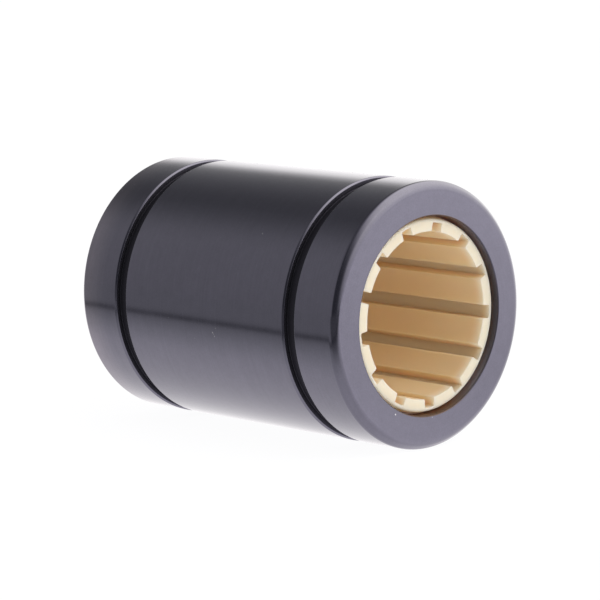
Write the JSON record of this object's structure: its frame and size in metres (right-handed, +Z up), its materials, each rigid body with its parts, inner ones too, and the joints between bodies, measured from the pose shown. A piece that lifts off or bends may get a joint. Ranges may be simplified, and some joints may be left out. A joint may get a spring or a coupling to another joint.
{
  "type": "plain linear bushing",
  "caption": "Closed linear bushing: a turned aluminium sleeve with retaining-ring grooves around a slit, grooved polymer liner that slides on a round shaft.",
  "frame": {"origin": "middle of the bore, halfway along the sleeve", "axes": "X along the shaft axis, +X out of one end face, +Z up with the bushing lying on its side"},
  "size_m": [0.045, 0.032, 0.032],
  "materials": {
    "anodised_aluminium": "hard anodised, dark blue-grey, satin, fine turned marks",
    "bearing_polymer": "moulded polymer, cream, matte"
  },
  "bodies": {
    "root": {"outer_sleeve": "anodised_aluminium", "liner": "bearing_polymer"}
  },
  "joints": []
}
